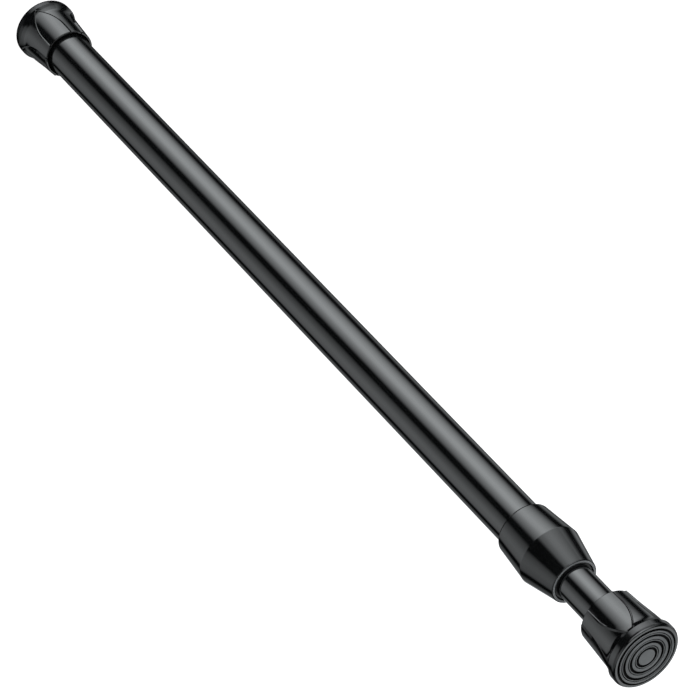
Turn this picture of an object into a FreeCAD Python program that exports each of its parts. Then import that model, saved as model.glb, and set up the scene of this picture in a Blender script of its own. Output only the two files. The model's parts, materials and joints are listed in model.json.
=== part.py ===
"""Spring tension rod: two telescoping tubes that are braced between two walls.

The outer tube ends in a double-cone collar, in which the inner tube slides. Each free end has a
plastic cap with four pointed-arch petals and a ringed rubber foot pad. Inside, turning the inner tube
draws a cone nut into a split sleeve, which locks the length, and a spring then presses the feet apart.

X runs along the rod from the face of the back foot, which is the origin, to the face of the front foot.
Z is up. All lengths are in millimetres.
"""
import FreeCAD
import Part
import math
import os
import Sketcher
from types import SimpleNamespace

# Driving dimensions: millimetres, degrees for angles, plain numbers for counts
DIMENSIONS = {
    # The whole rod, at the length at which its spring is at rest
    "rod_length": 388.0,
    "inner_tube_showing": 17.25,
    # Clearances: radial for what slides, radial for what is fixed, and between faces that stop a travel
    "slide_clearance": 0.1,
    "fixed_clearance": 0.02,
    "stop_gap": 0.3,
    # Tubes, and the room for the lock behind the inner one
    "outer_tube_radius": 8.0,
    "outer_tube_wall": 0.6,
    "inner_tube_radius": 6.15,
    "inner_tube_wall": 0.6,
    "lock_room": 79.5,
    # Foot pads with ring grooves
    "pad_thickness": 2.5,
    "pad_step_width": 0.75,
    "pad_step_depth": 0.8,
    "groove_first_radius": 3.3,
    "groove_pitch": 2.375,
    "groove_count": 3,
    "groove_width": 0.9,
    "groove_floor_width": 0.6,
    "groove_depth": 0.7,
    "fine_groove_offset": 0.85,
    "fine_groove_width": 0.4,
    "fine_groove_depth": 0.4,
    # End caps: a trunk round the tube, widening to its root and flared out to the rim round the pad
    "cap_length": 20.6,
    "cap_web": 2.0,
    "lip_setback": 0.2,
    "lip_drop": 0.65,
    "rim_wall": 1.35,
    "rim_start": 1.3,
    "rim_end": 3.0,
    "flare_height": 1.55,
    "flare_run": 3.6,
    "trunk_root_height": 0.75,
    "trunk_wall": 1.45,
    "mouth_edge_radius": 0.35,
    "mouth_flare": 0.85,
    "mouth_flare_length": 2.6,
    # Petals of the end caps, with a gutter round each
    "petal_mouth_height": 0.1,
    "petal_tip_height": 1.35,
    "gutter_width": 0.45,
    "gutter_tip_width": 0.2,
    "gutter_depth": 0.4,
    "petal_half_width": 4.42,
    "petal_tip_station": 3.2,
    "petal_shoulder_station": 15.0,
    "petal_count": 4,
    "petal_turn": 22.0,
    # Collar
    "collar_length": 27.75,
    "collar_ridge_station": 14.6,
    "collar_ridge_height": 2.97,
    "collar_ridge_rounding": 1.0,
    "collar_back_height": 1.55,
    "collar_back_rounding": 0.9,
    "collar_front_height": 0.05,
    "collar_front_rounding": 0.45,
    "collar_mouth_play": 0.45,
    "collar_lip": 2.0,
    # Guide bush
    "bush_flange": 1.2,
    "bush_length": 22.0,
    "bush_nose_wall": 0.4,
    "bush_nose_setback": 0.3,
    # Key bush, and the pins that hold it in the inner tube
    "key_flange": 3.0,
    "key_plug_length": 12.0,
    "key_pin_radius": 1.0,
    "key_pin_depth": 2.0,
    "key_pin_sink": 0.15,
    # Lock stem with its washer and ring
    "spring_travel": 16.0,
    "shank_width": 5.0,
    "thread_radius": 2.5,
    "stem_collar_radius": 5.6,
    "stem_collar_length": 3.0,
    "stem_tail": 1.2,
    "washer_radius": 6.0,
    "washer_thickness": 0.8,
    "ring_radius": 4.4,
    "ring_thickness": 1.2,
    "ring_groove_radius": 1.9,
    "ring_slot_width": 2.6,
    # Lock sleeve and wedge nut
    "sleeve_length": 18.0,
    "sleeve_front_wall": 3.5,
    "sleeve_wall": 1.0,
    "sleeve_cone_taper": 0.2,
    "slit_width": 1.6,
    "slit_length": 13.0,
    "slit_count": 3,
    "wedge_length": 10.0,
    "wedge_reach": 11.0,
    "wedge_feed": 1.5,
    "fin_setback": 0.4,
    "fin_length": 6.0,
    "fin_play": 0.4,
    # Spring with its plunger, screw and stop
    "spring_length": 50.0,
    "spring_coil_radius": 4.3,
    "spring_wire_radius": 0.55,
    "spring_turns": 8,
    "plunger_length": 5.0,
    "boss_radius": 3.4,
    "boss_length": 4.0,
    "screw_radius": 1.5,
    "screw_length": 12.0,
    "screw_head_radius": 2.6,
    "screw_head_height": 1.6,
    "screw_slot_width": 0.8,
    "screw_slot_depth": 0.7,
    "spring_stop_length": 8.0,
}

FULL_TURN = 360.0
HALF_TURN = 180.0
EDGE_TOLERANCE = 1e-6
X_AXIS = FreeCAD.Vector(1, 0, 0)
Z_AXIS = FreeCAD.Vector(0, 0, 1)


class Size:
    """A number together with the expression that ties it to the sheet."""

    def __init__(self, value, text):
        self.value = float(value)
        self.text = text

    def __neg__(self):
        return Size(-self.value, f"(0 - {self.text})")

    def __add__(self, other):
        return joined(self, "+", other, self.value + plain(other))

    def __sub__(self, other):
        return joined(self, "-", other, self.value - plain(other))

    def __mul__(self, other):
        return joined(self, "*", other, self.value * plain(other))

    def __truediv__(self, other):
        return joined(self, "/", other, self.value / plain(other))


def plain(size):
    return size.value if isinstance(size, Size) else float(size)


def written(size):
    return size.text if isinstance(size, Size) else repr(size)


def joined(left, sign, right, value):
    return Size(value, f"({written(left)} {sign} {written(right)})")


def root(size):
    return Size(math.sqrt(size.value), f"sqrt({size.text})")


def sheet_of_sizes(document):
    """The sheet with one named cell for each driving dimension, and the sizes that refer to it."""
    sheet = document.addObject("Spreadsheet::Sheet", "Sizes")
    for row, (alias, value) in enumerate(DIMENSIONS.items(), 1):
        sheet.set(f"A{row}", alias)
        sheet.set(f"B{row}", str(value))
        sheet.setAlias(f"B{row}", alias)
    document.recompute()
    return SimpleNamespace(**{alias: Size(sheet.get(alias), f"Sizes.{alias}") for alias in DIMENSIONS})


doc = FreeCAD.newDocument("SpringTensionRod")
s = sheet_of_sizes(doc)
sub_parts = []

# Places along the rod, and radii that several pieces share
tube_seat = s.pad_thickness + s.cap_web
collar_front = s.rod_length - s.cap_length - s.inner_tube_showing
outer_tube_front = collar_front - s.collar_lip - s.bush_flange
inner_tube_back = tube_seat + s.lock_room
key_bush_back = inner_tube_back - s.key_flange
plunger_back = inner_tube_back + s.key_plug_length + s.stop_gap
stem_collar_front = key_bush_back - s.spring_travel - s.stop_gap
washer_back = stem_collar_front - s.stem_collar_length - s.washer_thickness
sleeve_back = washer_back - s.stop_gap - s.sleeve_length
wedge_back = sleeve_back + s.wedge_reach - s.wedge_feed - s.wedge_length
ring_back = wedge_back - s.stop_gap - s.ring_thickness
stem_back = ring_back - s.stem_tail
spring_back = plunger_back + s.plunger_length
spring_front = spring_back + s.spring_length
key_pin_station = inner_tube_back + s.key_plug_length / 2

outer_bore_radius = s.outer_tube_radius - s.outer_tube_wall
inner_bore_radius = s.inner_tube_radius - s.inner_tube_wall
outer_runner_radius = outer_bore_radius - s.slide_clearance
inner_runner_radius = inner_bore_radius - s.slide_clearance
sleeve_cone_radius = outer_runner_radius - s.sleeve_wall
thread_bore_radius = s.thread_radius + s.slide_clearance
screw_hole_radius = s.screw_radius + s.fixed_clearance
bush_bore_radius = s.inner_tube_radius + s.slide_clearance
bush_nose_radius = bush_bore_radius + s.bush_nose_wall
trunk_radius = s.outer_tube_radius + s.trunk_wall
trunk_root_radius = trunk_radius + s.trunk_root_height
rim_radius = trunk_root_radius + s.flare_height
pad_radius = rim_radius - s.rim_wall


def new_body(label):
    body = doc.addObject("PartDesign::Body", label)
    body.Label = label
    sub_parts.append(body)
    return body


def origin_feature(body, role):
    return next(feature for feature in body.Origin.OriginFeatures if feature.Role == role)


def corner(point):
    return FreeCAD.Vector(plain(point[0]), plain(point[1]), 0)


def arc_between(start, end, radius, side):
    """The shorter arc from start to end with its centre on a side, and whether it begins at start."""
    along = end - start
    left = FreeCAD.Vector(-along.y, along.x, 0).normalize()
    rise = math.sqrt(radius ** 2 - (along.Length / 2) ** 2)
    centre = start + along / 2 + left * (rise if side == "left" else -rise)
    first, last = (start, end) if side == "left" else (end, start)
    first_angle = math.atan2(first.y - centre.y, first.x - centre.x)
    last_angle = math.atan2(last.y - centre.y, last.x - centre.x)
    if last_angle < first_angle:
        last_angle += 2 * math.pi
    circle = Part.Circle(centre, Z_AXIS, radius)
    return Part.ArcOfCircle(circle, first_angle, last_angle), side == "left"


def new_sketch(body, plane):
    sketch = body.newObject("Sketcher::SketchObject", body.Name + "_sketch")
    sketch.AttachmentSupport = [(origin_feature(body, plane), "")]
    sketch.MapMode = "FlatFace"
    return sketch


def tie(sketch, constraint, size):
    """Add a constraint whose value follows the sheet."""
    number = sketch.addConstraint(constraint)
    sketch.setExpression(f"Constraints[{number}]", size.text)


def draw(body, plane, points, arcs=None):
    """A closed outline through the points, in a plane of the body, with every corner tied to the sheet.

    A coordinate of 0 lies on the sketch's axis. arcs gives, for the number of an edge's first point,
    the arc's radius and the side of the way round on which its centre lies.
    """
    sketch = new_sketch(body, plane)
    arcs = arcs or {}
    starts = []
    for number, point in enumerate(points):
        following = points[(number + 1) % len(points)]
        if number in arcs:
            radius, side = arcs[number]
            edge, forward = arc_between(corner(point), corner(following), radius.value, side)
        else:
            edge, forward = Part.LineSegment(corner(point), corner(following)), True
        sketch.addGeometry(edge, False)
        starts.append((1, 2) if forward else (2, 1))
    for number in range(len(points)):
        before = (number - 1) % len(points)
        sketch.addConstraint(Sketcher.Constraint(
            "Coincident", before, starts[before][1], number, starts[number][0]))
    for number, point in enumerate(points):
        for size, across, axis in ((point[0], "DistanceX", -2), (point[1], "DistanceY", -1)):
            vertex = starts[number][0]
            if isinstance(size, Size):
                tie(sketch, Sketcher.Constraint(across, -1, 1, number, vertex, size.value), size)
            else:
                sketch.addConstraint(Sketcher.Constraint("PointOnObject", number, vertex, axis))
    for number, (radius, side) in arcs.items():
        tie(sketch, Sketcher.Constraint("Radius", number, radius.value), radius)
    return sketch


def draw_square(body, plane, width):
    """A square of the given width round the origin of one of the body's planes."""
    half = width / 2
    return draw(body, plane, [(half, half), (-half, half), (-half, -half), (half, -half)])


def draw_circle(body, plane, across, up, radius):
    """A circle in one of the body's planes. A height of 0 lies on the sketch's horizontal axis."""
    sketch = new_sketch(body, plane)
    sketch.addGeometry(Part.Circle(corner((across, up)), Z_AXIS, radius.value), False)
    tie(sketch, Sketcher.Constraint("DistanceX", -1, 1, 0, 3, across.value), across)
    if isinstance(up, Size):
        tie(sketch, Sketcher.Constraint("DistanceY", -1, 1, 0, 3, up.value), up)
    else:
        sketch.addConstraint(Sketcher.Constraint("PointOnObject", 0, 3, -1))
    tie(sketch, Sketcher.Constraint("Radius", 0, radius.value), radius)
    return sketch


def turn(body, sketch, kind="Revolution"):
    """Turn an outline about the rod's axis, to add material or, as a Groove, to cut it."""
    feature = body.newObject("PartDesign::" + kind, f"{body.Name}_{kind}")
    feature.Profile = sketch
    feature.ReferenceAxis = (sketch, ["H_Axis"])
    feature.Angle = FULL_TURN
    return feature


def extrude(body, sketch, kind, length, sides="Symmetric"):
    """Extrude an outline by a length, as a Pad or a Pocket, evenly to both sides of its plane or to one."""
    feature = body.newObject("PartDesign::" + kind, f"{body.Name}_{kind}")
    feature.Profile = sketch
    feature.SideType = sides
    feature.setExpression("Length", length.text)
    return feature


def cut_through(body, sketch):
    """Cut an outline right through the piece, to both sides of its plane."""
    cut = body.newObject("PartDesign::Pocket", body.Name + "_hole")
    cut.Profile = sketch
    cut.SideType = "Symmetric"
    cut.Type = "ThroughAll"


def repeat(body, feature, count):
    """Repeat a feature evenly round the rod's axis."""
    pattern = body.newObject("PartDesign::PolarPattern", body.Name + "_pattern")
    pattern.Originals = [feature]
    pattern.Axis = (origin_feature(body, "X_Axis"), [""])
    pattern.Angle = FULL_TURN
    pattern.setExpression("Occurrences", count.text)
    body.Tip = pattern


def round_edge(body, station, radius, rounding):
    """Round the circular edge that has a given radius and lies at a given station along X."""
    doc.recompute()
    base = body.Tip
    names = []
    for number, edge in enumerate(base.Shape.Edges, 1):
        if not isinstance(edge.Curve, Part.Circle):
            continue
        away = abs(edge.Curve.Radius - radius.value) + abs(edge.Curve.Center.x - plain(station))
        if away < EDGE_TOLERANCE:
            names.append(f"Edge{number}")
    fillet = body.newObject("PartDesign::Fillet", body.Name + "_rounding")
    fillet.Base = (base, names)
    fillet.setExpression("Radius", rounding.text)


def place_at(body, station):
    body.setExpression(".Placement.Base.x", station.text)


def tube(label, back, front, radius, wall):
    """A plain round tube between two stations."""
    body = new_body(label)
    bore = radius - wall
    turn(body, draw(body, "XY_Plane", [(back, bore), (front, bore), (front, radius), (back, radius)]))
    return body


def outer_tube():
    tube("outer_tube", tube_seat, outer_tube_front, s.outer_tube_radius, s.outer_tube_wall)


def inner_tube():
    """The sliding tube, drilled near its back end for the pins of the key bush."""
    front = s.rod_length - tube_seat
    body = tube("inner_tube", inner_tube_back, front, s.inner_tube_radius, s.inner_tube_wall)
    pin_hole = s.key_pin_radius + s.fixed_clearance
    cut_through(body, draw_circle(body, "XY_Plane", key_pin_station, 0, pin_hole))


def collar():
    """The double cone on the open end of the outer tube, with a lip in front of the guide bush."""
    body = new_body("collar")
    bore = s.outer_tube_radius + s.fixed_clearance
    mouth = bush_nose_radius + s.collar_mouth_play
    back_radius = s.outer_tube_radius + s.collar_back_height
    ridge_radius = s.outer_tube_radius + s.collar_ridge_height
    front_radius = s.outer_tube_radius + s.collar_front_height
    front = s.collar_length
    shoulder = front - s.collar_lip
    turn(body, draw(body, "XY_Plane", [
        (0, bore), (0, back_radius), (s.collar_ridge_station, ridge_radius), (front, front_radius),
        (front, mouth), (shoulder, mouth), (shoulder, bore)]))
    round_edge(body, s.collar_ridge_station, ridge_radius, s.collar_ridge_rounding)
    round_edge(body, 0, back_radius, s.collar_back_rounding)
    round_edge(body, front, front_radius, s.collar_front_rounding)
    place_at(body, collar_front - s.collar_length)


def guide_bush():
    """The flanged sleeve in the end of the outer tube that the inner tube slides in.

    Its nose reaches through the collar's mouth, a little behind the collar's face.
    """
    body = new_body("guide_bush")
    bore = bush_bore_radius
    nose = bush_nose_radius
    sleeve = outer_bore_radius - s.fixed_clearance
    flange_front = s.bush_length + s.bush_flange
    front = flange_front + s.collar_lip - s.bush_nose_setback
    turn(body, draw(body, "XY_Plane", [
        (0, bore), (0, sleeve), (s.bush_length, sleeve), (s.bush_length, s.outer_tube_radius),
        (flange_front, s.outer_tube_radius), (flange_front, nose), (front, nose), (front, bore)]))
    place_at(body, outer_tube_front - s.bush_length)


def arch_radius(run, half):
    """Radius of an arch's sides, which run square to its feet at the shoulders and meet at its tip."""
    return (run * run + half * half) / (half * 2)


def end_cap(label, tube_radius):
    """An end cap with its foot at the origin and its mouth towards X.

    Arms with a pointed-arch outline are shaved to a cone, which leaves the petals standing on a
    trumpet-shaped trunk that flares out to the rim of the foot. A gutter is cut round each petal.
    """
    body = new_body(label)
    tip = s.petal_tip_station
    shoulder = s.petal_shoulder_station
    mouth = s.cap_length
    half = s.petal_half_width
    petal_arc = arch_radius(shoulder - tip, half)
    arch = draw(body, "XY_Plane", [
        (tip, 0), (shoulder, half), (mouth, half), (mouth, -half), (shoulder, -half)],
        {0: (petal_arc, "right"), 4: (petal_arc, "right")})
    repeat(body, extrude(body, arch, "Pad", rim_radius, "One side"), s.petal_count)

    edge = s.mouth_edge_radius
    petal_mouth_radius = trunk_radius + s.petal_mouth_height
    past_arms = rim_radius + half
    turn(body, draw(body, "XY_Plane", [
        (tip, past_arms), (tip, trunk_radius + s.petal_tip_height), (mouth - edge, petal_mouth_radius),
        (mouth, petal_mouth_radius - edge), (mouth, past_arms)], {2: (edge, "right")}), "Groove")
    turn(body, trunk_outline(body, 0))

    wide = half + s.gutter_width
    wide_tip = tip - s.gutter_tip_width
    wide_arc = arch_radius(shoulder - wide_tip, wide)
    gutter = draw(body, "XY_Plane", [
        (wide_tip, 0), (shoulder, wide), (mouth, wide), (mouth, half), (shoulder, half), (tip, 0),
        (shoulder, -half), (mouth, -half), (mouth, -wide), (shoulder, -wide)],
        {0: (wide_arc, "right"), 4: (petal_arc, "left"), 5: (petal_arc, "left"), 9: (wide_arc, "right")})
    repeat(body, extrude(body, gutter, "Pocket", rim_radius, "One side"), s.petal_count)
    turn(body, trunk_outline(body, s.gutter_depth))

    socket = tube_radius + s.fixed_clearance
    turn(body, draw(body, "XY_Plane", [
        (tube_seat, 0), (tube_seat, socket), (mouth - s.mouth_flare_length, socket),
        (mouth, socket + s.mouth_flare), (mouth, 0)]), "Groove")
    return body


def trunk_outline(body, sink):
    """Half the section of a cap without its petals, with its trunk sunk by a depth."""
    recess = pad_radius + s.fixed_clearance
    edge = s.mouth_edge_radius
    lip_run = s.rim_start - s.lip_setback
    lip_rounding = (lip_run * lip_run + s.lip_drop * s.lip_drop) / (s.lip_drop * 2)
    root_radius = trunk_root_radius - sink
    mouth_radius = trunk_radius - sink
    drop = rim_radius - root_radius
    flare_rounding = (s.flare_run * s.flare_run + drop * drop) / (drop * 2)
    return draw(body, "XY_Plane", [
        (s.pad_thickness, 0), (s.pad_thickness, recess), (s.lip_setback, recess),
        (s.lip_setback, rim_radius - s.lip_drop), (s.rim_start, rim_radius), (s.rim_end, rim_radius),
        (s.rim_end + s.flare_run, root_radius), (s.cap_length - edge, mouth_radius),
        (s.cap_length, mouth_radius - edge), (s.cap_length, 0)],
        {3: (lip_rounding, "right"), 5: (flare_rounding, "left"), 7: (edge, "right")})


def foot_pad(label):
    """A rubber pad with its face at the origin, a stepped edge, and rings of a wide and a fine groove."""
    body = new_body(label)
    land = pad_radius - s.pad_step_width
    outline = [
        (s.pad_thickness, 0), (s.pad_thickness, pad_radius), (s.pad_step_depth, pad_radius),
        (s.pad_step_depth, land), (0, land)]
    for number in reversed(range(int(s.groove_count.value))):
        middle = s.groove_first_radius + s.groove_pitch * number
        fine = middle + s.fine_groove_offset
        outline += [
            (0, fine + s.fine_groove_width / 2), (s.fine_groove_depth, fine),
            (0, fine - s.fine_groove_width / 2),
            (0, middle + s.groove_width / 2), (s.groove_depth, middle + s.groove_floor_width / 2),
            (s.groove_depth, middle - s.groove_floor_width / 2), (0, middle - s.groove_width / 2)]
    outline.append((0, 0))
    turn(body, draw(body, "XY_Plane", outline))
    return body


def turn_about_axis(body):
    """Turn a foot's piece about the rod so that its petals point as on the back foot."""
    body.Placement = FreeCAD.Placement(FreeCAD.Vector(), FreeCAD.Rotation(X_AXIS, s.petal_turn.value))


def face_front(body):
    """Turn a foot's piece end for end and move it to the front of the rod, its petals as at the back."""
    about = FreeCAD.Rotation(X_AXIS, s.petal_turn.value)
    end_for_end = FreeCAD.Rotation(Z_AXIS, HALF_TURN)
    body.Placement = FreeCAD.Placement(FreeCAD.Vector(), about.multiply(end_for_end))
    place_at(body, s.rod_length)


def feet():
    turn_about_axis(end_cap("rear_end_cap", s.outer_tube_radius))
    turn_about_axis(foot_pad("rear_foot_pad"))
    face_front(end_cap("front_end_cap", s.inner_tube_radius))
    face_front(foot_pad("front_foot_pad"))


def lock_sleeve():
    """The split sleeve: fingers round a cone that opens to the back, joined by a front wall."""
    body = new_body("lock_sleeve")
    cone_length = s.sleeve_length - s.sleeve_front_wall
    cone_end = sleeve_cone_radius - s.sleeve_cone_taper * cone_length
    turn(body, draw(body, "XY_Plane", [
        (0, sleeve_cone_radius), (0, outer_runner_radius), (s.sleeve_length, outer_runner_radius),
        (s.sleeve_length, thread_bore_radius), (cone_length, thread_bore_radius), (cone_length, cone_end)]))
    slit = draw(body, "XY_Plane", [
        (0, 0), (0, s.outer_tube_radius), (s.slit_length, s.outer_tube_radius), (s.slit_length, 0)])
    repeat(body, extrude(body, slit, "Pocket", s.slit_width), s.slit_count)
    place_at(body, sleeve_back)


def wedge_nut():
    """The cone nut that spreads the sleeve, with fins in the sleeve's slits that keep it from turning."""
    body = new_body("wedge_nut")
    front = sleeve_cone_radius - s.sleeve_cone_taper * s.wedge_reach - s.slide_clearance
    back = front + s.sleeve_cone_taper * s.wedge_length
    turn(body, draw(body, "XY_Plane", [
        (0, thread_bore_radius), (0, back), (s.wedge_length, front), (s.wedge_length, thread_bore_radius)]))
    reach = outer_runner_radius - s.fin_setback
    fin = draw(body, "XY_Plane", [
        (0, front), (0, reach), (s.fin_length, reach), (s.fin_length, front)])
    repeat(body, extrude(body, fin, "Pad", s.slit_width - s.fin_play), s.slit_count)
    place_at(body, wedge_back)


def lock_stem():
    """The stem: a threaded rod behind a thrust collar, and a square shank in front of it."""
    body = new_body("lock_stem")
    groove_back = s.stem_tail
    groove_front = s.stem_tail + s.ring_thickness
    collar_back = washer_back + s.washer_thickness - stem_back
    collar_end = stem_collar_front - stem_back
    shank_end = plunger_back - stem_back
    turn(body, draw(body, "XY_Plane", [
        (0, 0), (0, s.thread_radius), (groove_back, s.thread_radius),
        (groove_back, s.ring_groove_radius), (groove_front, s.ring_groove_radius),
        (groove_front, s.thread_radius), (collar_back, s.thread_radius),
        (collar_back, s.stem_collar_radius), (collar_end, s.stem_collar_radius), (collar_end, 0)]))
    square = draw_square(body, "YZ_Plane", s.shank_width)
    square.setExpression("AttachmentOffset.Base.z", collar_end.text)
    extrude(body, square, "Pad", shank_end - collar_end, "One side")
    hole_back = shank_end - s.screw_length + s.plunger_length
    turn(body, draw(body, "XY_Plane", [
        (hole_back, 0), (hole_back, screw_hole_radius),
        (shank_end, screw_hole_radius), (shank_end, 0)]), "Groove")
    place_at(body, stem_back)


def flat_ring(label, back, thickness, radius, bore):
    body = new_body(label)
    turn(body, draw(body, "XY_Plane", [(0, bore), (thickness, bore), (thickness, radius), (0, radius)]))
    place_at(body, back)
    return body


def thrust_washer():
    flat_ring("thrust_washer", washer_back, s.washer_thickness, s.washer_radius, thread_bore_radius)


def retaining_ring():
    """The open ring that snaps into the groove at the back end of the stem."""
    bore = s.ring_groove_radius + s.fixed_clearance
    body = flat_ring("retaining_ring", ring_back, s.ring_thickness, s.ring_radius, bore)
    past_ring = s.ring_radius * 2
    opening = draw(body, "XY_Plane", [
        (0, 0), (s.ring_thickness, 0), (s.ring_thickness, past_ring), (0, past_ring)])
    extrude(body, opening, "Pocket", s.ring_slot_width)


def key_bush():
    """The bush in the back end of the inner tube, with a square hole that turns the stem."""
    body = new_body("key_bush")
    plug = inner_bore_radius - s.fixed_clearance
    length = s.key_flange + s.key_plug_length
    turn(body, draw(body, "XY_Plane", [
        (0, 0), (0, outer_runner_radius), (s.key_flange, outer_runner_radius), (s.key_flange, plug),
        (length, plug), (length, 0)]))
    cut_through(body, draw_square(body, "YZ_Plane", s.shank_width + s.slide_clearance * 2))
    pin_station = s.key_flange + s.key_plug_length / 2
    cut_through(body, draw_circle(body, "XY_Plane", pin_station, 0, s.key_pin_radius + s.fixed_clearance))
    place_at(body, key_bush_back)


def bush_pins():
    """Two short pins, one on each side, that hold the key bush in the inner tube."""
    pins = []
    for side, turned in (("upper", 0), ("lower", HALF_TURN)):
        pin = doc.addObject("Part::Cylinder", side + "_pin")
        pin.setExpression("Radius", s.key_pin_radius.text)
        pin.setExpression("Height", s.key_pin_depth.text)
        sign = "-" if turned else ""
        pin.Placement = FreeCAD.Placement(FreeCAD.Vector(), FreeCAD.Rotation(X_AXIS, turned))
        pin.setExpression(".Placement.Base.x", key_pin_station.text)
        start = s.inner_tube_radius - s.key_pin_sink - s.key_pin_depth
        pin.setExpression(".Placement.Base.z", sign + start.text)
        pins.append(pin)
    group = doc.addObject("Part::Compound", "bush_pins")
    group.Label = "bush_pins"
    group.Links = pins
    sub_parts.append(group)


def spring_plunger():
    """The seat that the spring pushes on, with a boss inside the spring and a hole for its screw."""
    body = new_body("spring_plunger")
    front = s.plunger_length + s.boss_length
    head = s.screw_head_radius + s.fixed_clearance
    turn(body, draw(body, "XY_Plane", [
        (0, screw_hole_radius), (0, inner_runner_radius), (s.plunger_length, inner_runner_radius),
        (s.plunger_length, s.boss_radius), (front, s.boss_radius), (front, head),
        (s.plunger_length, head), (s.plunger_length, screw_hole_radius)]))
    place_at(body, plunger_back)


def plunger_screw():
    """The slotted screw through the plunger into the end of the stem."""
    body = new_body("plunger_screw")
    front = s.screw_length + s.screw_head_height
    turn(body, draw(body, "XY_Plane", [
        (0, 0), (0, s.screw_radius), (s.screw_length, s.screw_radius),
        (s.screw_length, s.screw_head_radius), (front, s.screw_head_radius), (front, 0)]))
    floor = front - s.screw_slot_depth
    reach = s.screw_head_radius * 2
    slot = draw(body, "XY_Plane", [(floor, -reach), (floor, reach), (front, reach), (front, -reach)])
    extrude(body, slot, "Pocket", s.screw_slot_width)
    place_at(body, spring_back - s.screw_length)


def tension_spring():
    """The compression spring, an open coil between the plunger and the stop."""
    body = new_body("tension_spring")
    wire = s.spring_wire_radius
    sketch = draw_circle(body, "XY_Plane", wire, s.spring_coil_radius, wire)
    coil = body.newObject("PartDesign::AdditiveHelix", "tension_spring_coil")
    coil.Profile = sketch
    coil.ReferenceAxis = (sketch, ["H_Axis"])
    coil.Mode = "height-turns-angle"
    coil.setExpression("Height", (s.spring_length - wire * 2).text)
    coil.setExpression("Turns", s.spring_turns.text)
    place_at(body, spring_back)


def spring_stop():
    """The plug in the inner tube that takes the spring's push, with a boss inside the spring."""
    body = new_body("spring_stop")
    plug = inner_bore_radius - s.fixed_clearance
    front = s.boss_length + s.spring_stop_length
    turn(body, draw(body, "XY_Plane", [
        (0, 0), (0, s.boss_radius), (s.boss_length, s.boss_radius), (s.boss_length, plug),
        (front, plug), (front, 0)]))
    place_at(body, spring_front - s.boss_length)


def check():
    """Stop if a feature failed, a cut removed nothing or a sub-part is no valid solid."""
    doc.recompute()
    faults = [item.Name for item in doc.Objects if "Invalid" in item.State or "Error" in item.State]
    for item in doc.Objects:
        if item.TypeId in ("PartDesign::Pocket", "PartDesign::Groove"):
            if item.Shape.Volume >= item.BaseFeature.Shape.Volume:
                faults.append(item.Name + " cuts nothing")
    faults += [item.Label for item in sub_parts if item.Shape.isNull() or not item.Shape.isValid()]
    if faults:
        raise RuntimeError("failed: " + ", ".join(faults))


def write():
    os.makedirs("parts", exist_ok=True)
    for item in sub_parts:
        item.Shape.exportStep(f"parts/{item.Label}.step")


outer_tube()
collar()
guide_bush()
inner_tube()
feet()
lock_sleeve()
wedge_nut()
lock_stem()
thrust_washer()
retaining_ring()
key_bush()
bush_pins()
spring_plunger()
plunger_screw()
tension_spring()
spring_stop()
check()
write()
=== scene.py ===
"""A black spring tension rod on white: its finishes, the studio light and the camera."""
import json
import math

import bpy
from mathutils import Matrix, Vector


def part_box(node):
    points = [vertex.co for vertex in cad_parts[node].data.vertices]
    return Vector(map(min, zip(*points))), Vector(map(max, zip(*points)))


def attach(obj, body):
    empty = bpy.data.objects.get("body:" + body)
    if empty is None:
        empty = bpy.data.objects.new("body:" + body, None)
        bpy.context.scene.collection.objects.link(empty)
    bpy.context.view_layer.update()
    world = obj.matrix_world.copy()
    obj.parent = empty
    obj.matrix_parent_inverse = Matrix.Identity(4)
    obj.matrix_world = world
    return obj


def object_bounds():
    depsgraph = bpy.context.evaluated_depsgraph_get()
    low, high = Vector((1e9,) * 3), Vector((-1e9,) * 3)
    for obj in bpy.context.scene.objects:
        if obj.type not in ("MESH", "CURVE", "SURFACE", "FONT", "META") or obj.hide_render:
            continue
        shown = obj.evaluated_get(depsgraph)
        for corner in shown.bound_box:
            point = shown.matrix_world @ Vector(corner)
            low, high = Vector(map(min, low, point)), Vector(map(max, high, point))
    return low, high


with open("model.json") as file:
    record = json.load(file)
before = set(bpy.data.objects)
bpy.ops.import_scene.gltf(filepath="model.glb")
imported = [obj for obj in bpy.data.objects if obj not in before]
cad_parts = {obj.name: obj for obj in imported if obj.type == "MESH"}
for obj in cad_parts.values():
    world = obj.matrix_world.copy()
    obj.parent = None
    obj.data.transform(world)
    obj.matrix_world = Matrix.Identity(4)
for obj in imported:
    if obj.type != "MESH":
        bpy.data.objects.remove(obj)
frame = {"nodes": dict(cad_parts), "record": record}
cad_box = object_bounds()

# Camera, fitted to the vanishing point of the tubes and the roundness of the foot's rings
CAMERA_PLACE = Vector((0.9469, -0.4405, 0.6884))
CAMERA_FORWARD = Vector((-0.66687, 0.40022, -0.62858))
CAMERA_LENS = 175.04
CAMERA_SENSOR = 36.0
CAMERA_NEAR = 0.05

MILLIMETRE = 0.001

# Unevenness of every finish: its size, and how far it moves the colour down and up
CLOUD_SCALE = 90.0
CLOUD_DETAIL = 4.0
CLOUD_START = 0.3
CLOUD_END = 0.7
DARKER = 0.8
LIGHTER = 1.2
GRAIN_DETAIL = 2.0
BLACK = (0.0055, 0.0058, 0.006)

# Painted shade in the pads' grooves: depths below a pad's face at which it begins and reaches full
# strength, and how dark the rubber is painted there
GROOVE_EDGE = 0.00005
GROOVE_FLOOR = 0.00016
GROOVE_PAINTED_SHADE = 0.01

# The collar's flat front face is matte, and painted light grey as a painted highlight for the light it
# catches, down to a small depth below it
MATTE_DEPTH = 0.000006
FRONT_PAINTED_HIGHLIGHT_COLOUR = (0.26, 0.265, 0.27)
MATTE_ROUGHNESS = 0.6

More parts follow.
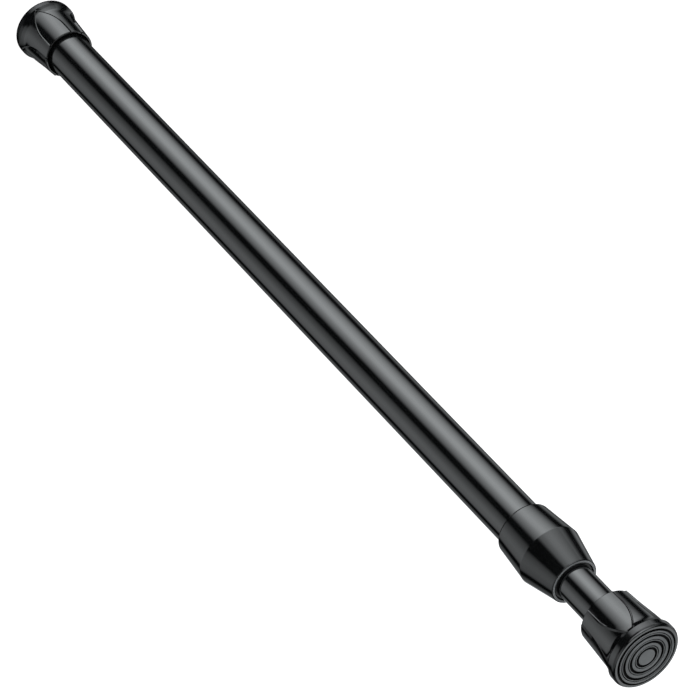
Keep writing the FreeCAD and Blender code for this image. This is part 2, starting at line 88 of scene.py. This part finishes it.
# Petals of the end caps, as in the solids: millimetres, with stations from the face of the foot.
# The trunk and the petals' outer faces are cones, each given by two points of station and radius
PETAL_COUNT = 4
PETAL_TURN = 22.0
PETAL_TIP = 3.2
PETAL_SHOULDER = 15.0
PETAL_HALF_WIDTH = 4.42
FLARE_START = (3.0, 11.75)
TRUNK = ((6.6, 10.2), (20.25, 9.45))
PETAL_CONE = ((3.2, 10.8), (20.25, 9.55))

# The fine bead along each petal's edge, which closes the gutter there, in millimetres
BEAD_START = 3.6
BEAD_STEPS = 48
BEAD_CREST = 0.28
BEAD_WIDTH = 0.62
BEAD_HEIGHT = 0.25
BEAD_ROOT = 0.2
BEAD_DEPTH = 0.3
BEAD_EDGES = 4

# The light tent is an arch of soft panels round and along the rod. Angles are in degrees about the rod's
# axis, from straight up towards the camera's side (-Y), each with its brightness
TENT_RADIUS = 1.0
TENT_STEP = 3
TENT_COLOUR = (0.955, 1.0, 1.02)
TENT_GLOW = [
    # Bounce from below, behind the rod
    (-180, 0.09), (-168, 0.12), (-160, 0.45), (-146, 0.45), (-136, 0.08), (-128, 0.06),
    # Weak strip on the far side
    (-116, 0.07), (-110, 0.14), (-104, 0.21), (-94, 0.14), (-85, 0.0), (-70, 0.0),
    # Large panel overhead, brightest a little behind the top
    (-62, 0.30), (-56, 0.62), (-44, 1.32), (-32, 2.02), (-14, 2.90), (-2, 2.80),
    (9, 2.04), (21, 1.32), (28, 0.86), (34, 0.30), (39, 0.0), (58, 0.0),
    # Dimmer panel on the camera's side
    (64, 0.24), (70, 0.40), (82, 0.58), (94, 0.74), (106, 0.74), (118, 0.58),
    (130, 0.42), (136, 0.24), (141, 0.0), (153, 0.0),
    # Bounce from below, in front of the rod
    (159, 0.10), (165, 0.16), (172, 0.18), (180, 0.09),
]

# Dark flags in the tent, by the angles between which they hang. No flag is one of no width in the gap
# between the two panels
NO_FLAG = (48, 48)
FLAG = (27, 66)
WIDE_FLAG = (6, 74)
FLAG_SOFTNESS = 10.0

# Along the rod: station, share of the brightness overhead, on the near side and below, and on the far
# side, and the flag. The top reaches to TENT_TOP either way, and the far side starts at TENT_FAR
TENT_TOP = 50
TENT_FAR = -80
TENT_STATIONS = [
    # Dark behind the rod, for the rear rim
    (-12.0, 0.0, 0.0, 0.0, NO_FLAG),
    (-1.22, 0.0, 0.0, 0.0, NO_FLAG),
    (-1.15, 0.42, 0.0, 0.2, NO_FLAG),
    # What the outer tube, the inner tube and the petals reflect
    (-1.125, 0.91, 0.78, 0.35, NO_FLAG),
    (-0.72, 1.01, 1.0, 1.15, NO_FLAG),
    (-0.44, 1.17, 1.18, 1.8, NO_FLAG),
    (-0.35, 1.2, 1.3, 2.0, NO_FLAG),
    # What the collar's front cone reflects
    (-0.31, 0.75, 1.05, 2.0, FLAG),
    (-0.05, 0.72, 1.0, 2.6, FLAG),
    (0.2, 0.6, 1.0, 2.6, FLAG),
    # What the flare of the rear cap reflects
    (0.3, 0.36, 0.6, 2.6, WIDE_FLAG),
    (0.85, 0.36, 0.6, 2.6, WIDE_FLAG),
    # In front of the rod
    (0.95, 1.0, 1.0, 1.0, NO_FLAG),
    (1.9, 1.0, 1.0, 1.0, NO_FLAG),
    (2.1, 0.1, 0.25, 1.2, NO_FLAG),
    (4.0, 0.1, 0.25, 1.2, NO_FLAG),
]

# White card below and in front of the rod, soft lamp on the camera's side, floor and world
CARD_PLACE = Vector((1.15, 0.48, -0.75))
CARD_TARGET = Vector((0.37, 0.0, 0.0))
CARD_SIZE = 0.8
CARD_GLOW = 1.15
LAMP_PLACE = Vector((1.5, -0.6, 1.0))
LAMP_TARGET = Vector((0.35, 0.0, 0.0))
LAMP_SIZE = 0.8
LAMP_POWER = 3.0
FLOOR_DROP = 1.2
FLOOR_SPAN = 40.0
FLOOR_COLOUR = (0.8, 0.8, 0.8)
FLOOR_GLOW = 0.9
AMBIENT = 0.5


def add_node(tree, kind, **inputs):
    """A node of a tree, with the values of its named inputs."""
    node = tree.nodes.new(kind)
    for name, value in inputs.items():
        node.inputs[name.replace("_", " ")].default_value = value
    return node


def add_sum(tree, operation, second=None):
    """A node that works out a value, from a fixed second value where one is given."""
    node = add_node(tree, "ShaderNodeMath")
    node.operation = operation
    if second is not None:
        node.inputs[1].default_value = second
    return node


def link(tree, source, output, target, socket):
    """Join the output of one node to the socket of another."""
    tree.links.new(source.outputs[output], target.inputs[socket])


def new_material(name):
    """A material with an empty node tree, and that tree."""
    material = bpy.data.materials.new(name)
    material.use_nodes = True
    material.node_tree.nodes.clear()
    return material, material.node_tree


def place_along(tree):
    """A node whose X is the place along the rod at rest."""
    place = add_node(tree, "ShaderNodeTexCoord")
    along = add_node(tree, "ShaderNodeSeparateXYZ")
    link(tree, place, "Object", along, "Vector")
    return along


def moulded(name, colour, roughness, grain, grain_depth, coat=0.0, mirror=0.5, metal=0.0, lay=1.0):
    """A finish with a little unevenness in gloss and a fine grain, packed closer along the rod by lay."""
    material, tree = new_material(name)
    output = add_node(tree, "ShaderNodeOutputMaterial")
    shader = add_node(tree, "ShaderNodeBsdfPrincipled", Coat_Weight=coat, Coat_Roughness=roughness[0],
                      Specular_IOR_Level=mirror, Metallic=metal)
    link(tree, shader, "BSDF", output, "Surface")
    place = add_node(tree, "ShaderNodeTexCoord")
    clouds = add_node(tree, "ShaderNodeTexNoise", Scale=CLOUD_SCALE, Detail=CLOUD_DETAIL)
    link(tree, place, "Object", clouds, "Vector")
    gloss = add_node(tree, "ShaderNodeMapRange", To_Min=roughness[0], To_Max=roughness[1])
    link(tree, clouds, "Fac", gloss, "Value")
    link(tree, gloss, "Result", shader, "Roughness")
    tint = add_node(tree, "ShaderNodeValToRGB")
    dark, light = tint.color_ramp.elements
    dark.position = CLOUD_START
    dark.color = (*[DARKER * channel for channel in colour], 1)
    light.position = CLOUD_END
    light.color = (*[LIGHTER * channel for channel in colour], 1)
    link(tree, clouds, "Fac", tint, "Fac")
    link(tree, tint, "Color", shader, "Base Color")
    packed = add_node(tree, "ShaderNodeMapping", Scale=(lay, 1.0, 1.0))
    link(tree, place, "Object", packed, "Vector")
    grains = add_node(tree, "ShaderNodeTexNoise", Scale=grain, Detail=GRAIN_DETAIL)
    link(tree, packed, "Vector", grains, "Vector")
    bump = add_node(tree, "ShaderNodeBump", Strength=1.0, Distance=grain_depth)
    link(tree, grains, "Fac", bump, "Height")
    link(tree, bump, "Normal", shader, "Normal")
    return material


def shader_of(material):
    """The shader of a moulded finish."""
    return next(node for node in material.node_tree.nodes if node.type == "BSDF_PRINCIPLED")


def paint_groove_shade(material):
    """Paint shade into the rubber down in the grooves of the two pads, darker with depth below either
    face, in place of the shade the grooves cast.
    """
    tree = material.node_tree
    shader = shader_of(material)
    tint = shader.inputs["Base Color"].links[0].from_node
    middle = (cad_box[0][0] + cad_box[1][0]) / 2
    reach = (cad_box[1][0] - cad_box[0][0]) / 2
    offset = add_sum(tree, "SUBTRACT", middle)
    link(tree, place_along(tree), "X", offset, 0)
    distance = add_sum(tree, "ABSOLUTE")
    link(tree, offset, "Value", distance, 0)
    light = add_node(tree, "ShaderNodeMapRange", To_Min=GROOVE_PAINTED_SHADE, To_Max=1.0,
                     From_Min=reach - GROOVE_FLOOR, From_Max=reach - GROOVE_EDGE)
    link(tree, distance, "Value", light, "Value")
    shaded = add_node(tree, "ShaderNodeVectorMath")
    shaded.operation = "SCALE"
    link(tree, tint, "Color", shaded, "Vector")
    link(tree, light, "Result", shaded, "Scale")
    link(tree, shaded, "Vector", shader, "Base Color")


def matte_front_with_painted_highlight(material, front):
    """Make the flat face at the front of a moulding matte, and paint it light grey as a painted highlight
    for the light it catches.
    """
    tree = material.node_tree
    shader = shader_of(material)
    tint = shader.inputs["Base Color"].links[0].from_node
    gloss = shader.inputs["Roughness"].links[0].from_node
    on_face = add_sum(tree, "GREATER_THAN", front - MATTE_DEPTH)
    link(tree, place_along(tree), "X", on_face, 0)
    colour = add_node(tree, "ShaderNodeMixRGB", Color2=(*FRONT_PAINTED_HIGHLIGHT_COLOUR, 1))
    link(tree, on_face, "Value", colour, "Fac")
    link(tree, tint, "Color", colour, "Color1")
    link(tree, colour, "Color", shader, "Base Color")
    rough = add_node(tree, "ShaderNodeMapRange", To_Max=MATTE_ROUGHNESS)
    link(tree, on_face, "Value", rough, "Value")
    link(tree, gloss, "Result", rough, "To Min")
    link(tree, rough, "Result", shader, "Roughness")
    coat_weight = shader.inputs["Coat Weight"].default_value
    coat = add_node(tree, "ShaderNodeMapRange", To_Min=coat_weight, To_Max=0.0)
    link(tree, on_face, "Value", coat, "Value")
    link(tree, coat, "Result", shader, "Coat Weight")


def dress(node, material):
    """Give a piece of the frame its finish."""
    for slot in frame["nodes"][node].material_slots:
        slot.material = material


FINISHES = {
    "tube_paint": moulded("tube_paint", BLACK, (0.04, 0.07), 900, 1e-7, coat=0.7),
    "cap_plastic": moulded("cap_plastic", BLACK, (0.05, 0.09), 1400, 2e-7, coat=0.6),
    "collar_plastic": moulded("collar_plastic", BLACK, (0.05, 0.09), 1400, 2e-7, coat=0.6),
    "pad_rubber": moulded("pad_rubber", (0.205, 0.209, 0.212), (0.5, 0.65), 2500, 4e-6, mirror=0.08),
    "bush_plastic": moulded("bush_plastic", (0.012, 0.012, 0.012), (0.35, 0.5), 1500, 2e-6),
    "lock_plastic": moulded("lock_plastic", (0.66, 0.64, 0.59), (0.35, 0.5), 1500, 2e-6),
    "steel": moulded("steel", (0.6, 0.61, 0.62), (0.2, 0.36), 180, 3e-6, metal=1.0, lay=30.0),
    "spring_steel": moulded("spring_steel", (0.42, 0.42, 0.43), (0.26, 0.42), 2400, 2e-6, metal=1.0),
}
# Painted shade down in the pads' grooves
paint_groove_shade(FINISHES["pad_rubber"])
# Painted highlight: the collar's black flat front face is painted light grey
matte_front_with_painted_highlight(FINISHES["collar_plastic"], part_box("collar")[1][0])
for subpart in frame["record"]["subparts"]:
    dress(subpart["node"], FINISHES[subpart["material_slot"]])
dress("collar", FINISHES["collar_plastic"])


def petal_half_width(station):
    """Half the width of a petal: its sides are arcs from the tip to the shoulders, then straight."""
    run = PETAL_SHOULDER - PETAL_TIP
    radius = (run ** 2 + PETAL_HALF_WIDTH ** 2) / (2 * PETAL_HALF_WIDTH)
    back = max(0.0, PETAL_SHOULDER - station)
    return math.sqrt(radius ** 2 - back ** 2) - radius + PETAL_HALF_WIDTH


def cone_radius(cone, station):
    """Radius at a station of the cone through two points."""
    (start, first), (end, last) = cone
    return first + (last - first) * (station - start) / (end - start)


def trunk_radius(station):
    """Radius of a cap between its petals: a cone from the mouth to the root, and then the flare."""
    root_station, root_radius = TRUNK[0]
    if station > root_station:
        return cone_radius(TRUNK, station)
    run = root_station - FLARE_START[0]
    drop = FLARE_START[1] - root_radius
    bend = (run ** 2 + drop ** 2) / (2 * drop)
    return root_radius + bend - math.sqrt(bend ** 2 - (root_station - station) ** 2)


def bead_section(station):
    """Offset from the petal's middle and radius of a bead's inner edge, crest, outer edge and root."""
    inner = petal_half_width(station)
    trunk = trunk_radius(station)
    petal = max(trunk, cone_radius(PETAL_CONE, station))
    return [
        (inner, petal), (inner + BEAD_CREST, petal + BEAD_HEIGHT),
        (inner + BEAD_WIDTH, trunk), (inner + BEAD_ROOT, trunk - BEAD_DEPTH)]


def bead_faces(first):
    """Corners of the faces of a closed bead whose points start at a number: its walls and two ends."""
    faces = []
    for step in range(BEAD_STEPS):
        near = first + BEAD_EDGES * step
        far = near + BEAD_EDGES
        for edge in range(BEAD_EDGES):
            following = (edge + 1) % BEAD_EDGES
            faces.append((near + edge, far + edge, far + following, near + following))
    last = first + BEAD_EDGES * BEAD_STEPS
    faces.append(tuple(range(first, first + BEAD_EDGES)))
    faces.append(tuple(range(last, last + BEAD_EDGES))[::-1])
    return faces


def petal_beads(name, face, way, body):
    """The fine beads along the edges of a cap's petals, which catch the light as thin lines."""
    points = []
    faces = []
    span = TRUNK[1][0] - BEAD_START
    for petal in range(PETAL_COUNT):
        middle = math.radians(PETAL_TURN + 360 / PETAL_COUNT * petal)
        for side in (1, -1):
            shell = bead_faces(len(points))
            faces += shell if way * side < 0 else [corners[::-1] for corners in shell]
            for step in range(BEAD_STEPS + 1):
                station = BEAD_START + span * step / BEAD_STEPS
                along = face + way * station * MILLIMETRE
                for offset, radius in bead_section(station):
                    turn = middle + side * math.asin(offset / radius)
                    reach = radius * MILLIMETRE
                    points.append((along, -reach * math.sin(turn), reach * math.cos(turn)))
    mesh = bpy.data.meshes.new(name)
    mesh.from_pydata(points, [], faces)
    mesh.materials.append(FINISHES["cap_plastic"])
    piece = bpy.data.objects.new(name, mesh)
    bpy.context.scene.collection.objects.link(piece)
    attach(piece, body)


petal_beads("rear_cap_beads", cad_box[0][0], 1, "outer")
petal_beads("front_cap_beads", cad_box[1][0], -1, "inner")


def glow_material(name):
    """A light whose strength at each point is the mesh's own glow there."""
    material, tree = new_material(name)
    output = add_node(tree, "ShaderNodeOutputMaterial")
    glow = add_node(tree, "ShaderNodeEmission", Color=(*TENT_COLOUR, 1))
    strength = add_node(tree, "ShaderNodeAttribute")
    strength.attribute_name = "glow"
    link(tree, strength, "Fac", glow, "Strength")
    link(tree, glow, "Emission", output, "Surface")
    return material


def light_panel(name, points, faces, glows):
    """A glowing part of the studio that the camera doesn't see and that casts no shadow."""
    mesh = bpy.data.meshes.new(name)
    mesh.from_pydata(points, [], faces)
    mesh.materials.append(glow_material(name))
    mesh.attributes.new("glow", "FLOAT", "POINT").data.foreach_set("value", glows)
    panel = bpy.data.objects.new(name, mesh)
    panel.visible_camera = False
    panel.visible_shadow = False
    bpy.context.scene.collection.objects.link(panel)
    return panel


def glow_at(angle):
    """Brightness of the tent at an angle, between the table's points."""
    for (start, low), (end, high) in zip(TENT_GLOW, TENT_GLOW[1:]):
        if start <= angle <= end:
            return low + (high - low) * (angle - start) / (end - start)
    raise ValueError(angle)


def light_tent():
    """A long tent round the rod that lights it and shows in its gloss."""
    angles = range(-180, 180 + TENT_STEP, TENT_STEP)
    row = len(TENT_STATIONS)
    points = []
    glows = []
    for angle in angles:
        turn = math.radians(angle)
        for station, top_share, side_share, far_share, (flag_start, flag_end) in TENT_STATIONS:
            share = side_share
            if abs(angle) < TENT_TOP:
                share = top_share
            elif angle < TENT_FAR:
                share = far_share
            beside_flag = max(flag_start - angle, angle - flag_end, 0)
            open_share = min(1.0, beside_flag / FLAG_SOFTNESS)
            points.append((station, -TENT_RADIUS * math.sin(turn), TENT_RADIUS * math.cos(turn)))
            glows.append(share * open_share * glow_at(angle))
    corners = [row * n + m for n in range(len(angles) - 1) for m in range(row - 1)]
    faces = [(first, first + 1, first + row + 1, first + row) for first in corners]
    light_panel("light_tent", points, faces, glows)


def square(span, height):
    """Corners of a level square round the Z axis."""
    half = span / 2
    return [(-half, -half, height), (half, -half, height), (half, half, height), (-half, half, height)]


def white_card():
    """A card below and in front of the rod, that shows in the faces of the front foot and the collar."""
    card = light_panel("white_card", square(CARD_SIZE, 0.0), [(0, 1, 2, 3)], [CARD_GLOW] * 4)
    card.location = CARD_PLACE
    card.rotation_euler = (CARD_TARGET - CARD_PLACE).to_track_quat("Z", "Y").to_euler()


def soft_lamp():
    """A wide soft lamp on the camera's side, in front of the rod, for the feet and the collar's face."""
    light = bpy.data.lights.new("soft_lamp", "AREA")
    light.shape = "SQUARE"
    light.size = LAMP_SIZE
    light.energy = LAMP_POWER
    lamp = bpy.data.objects.new("soft_lamp", light)
    lamp.location = LAMP_PLACE
    lamp.rotation_euler = (LAMP_TARGET - LAMP_PLACE).to_track_quat("-Z", "Y").to_euler()
    bpy.context.scene.collection.objects.link(lamp)


def seen_rays(tree):
    """1 for a ray of the camera or of a mirror or glass, and 0 for one that gathers light."""
    path = add_node(tree, "ShaderNodeLightPath")
    camera_or_mirror = add_sum(tree, "MAXIMUM")
    link(tree, path, "Is Camera Ray", camera_or_mirror, 0)
    link(tree, path, "Is Glossy Ray", camera_or_mirror, 1)
    any_of_them = add_sum(tree, "MAXIMUM")
    link(tree, camera_or_mirror, "Value", any_of_them, 0)
    link(tree, path, "Is Transmission Ray", any_of_them, 1)
    return any_of_them


def white_floor():
    """A wide pale floor below the rod, white where it is seen and still able to take a shadow."""
    mesh = bpy.data.meshes.new("floor")
    mesh.from_pydata(square(FLOOR_SPAN, -FLOOR_DROP), [], [(0, 1, 2, 3)])
    floor = bpy.data.objects.new("floor", mesh)
    bpy.context.scene.collection.objects.link(floor)
    material, tree = new_material("floor")
    output = add_node(tree, "ShaderNodeOutputMaterial")
    matte = add_node(tree, "ShaderNodeBsdfDiffuse", Color=(*FLOOR_COLOUR, 1))
    glow = add_node(tree, "ShaderNodeEmission", Strength=FLOOR_GLOW)
    bright = add_node(tree, "ShaderNodeAddShader")
    link(tree, matte, "BSDF", bright, 0)
    link(tree, glow, "Emission", bright, 1)
    pick = add_node(tree, "ShaderNodeMixShader")
    link(tree, seen_rays(tree), "Value", pick, 0)
    link(tree, matte, "BSDF", pick, 1)
    link(tree, bright, "Shader", pick, 2)
    link(tree, pick, "Shader", output, "Surface")
    mesh.materials.append(material)


def white_world():
    """White all round for what is seen, and a soft even light for the rest."""
    world = bpy.data.worlds.new("studio")
    world.use_nodes = True
    tree = world.node_tree
    tree.nodes.clear()
    output = add_node(tree, "ShaderNodeOutputWorld")
    sky = add_node(tree, "ShaderNodeBackground", Color=(1, 1, 1, 1))
    strength = add_node(tree, "ShaderNodeMapRange", To_Min=AMBIENT, To_Max=1.0)
    link(tree, seen_rays(tree), "Value", strength, "Value")
    link(tree, strength, "Result", sky, "Strength")
    link(tree, sky, "Background", output, "Surface")
    bpy.context.scene.world = world


def photo_camera():
    """The camera at the photo's place."""
    camera = bpy.data.cameras.new("camera")
    camera.lens = CAMERA_LENS
    camera.sensor_fit = "VERTICAL"
    camera.sensor_height = CAMERA_SENSOR
    camera.clip_start = CAMERA_NEAR
    holder = bpy.data.objects.new("camera", camera)
    holder.location = CAMERA_PLACE
    holder.rotation_euler = CAMERA_FORWARD.to_track_quat("-Z", "Y").to_euler()
    bpy.context.scene.collection.objects.link(holder)
    bpy.context.scene.camera = holder


light_tent()
white_card()
soft_lamp()
white_floor()
white_world()
photo_camera()
bpy.context.scene.view_settings.view_transform = "Standard"
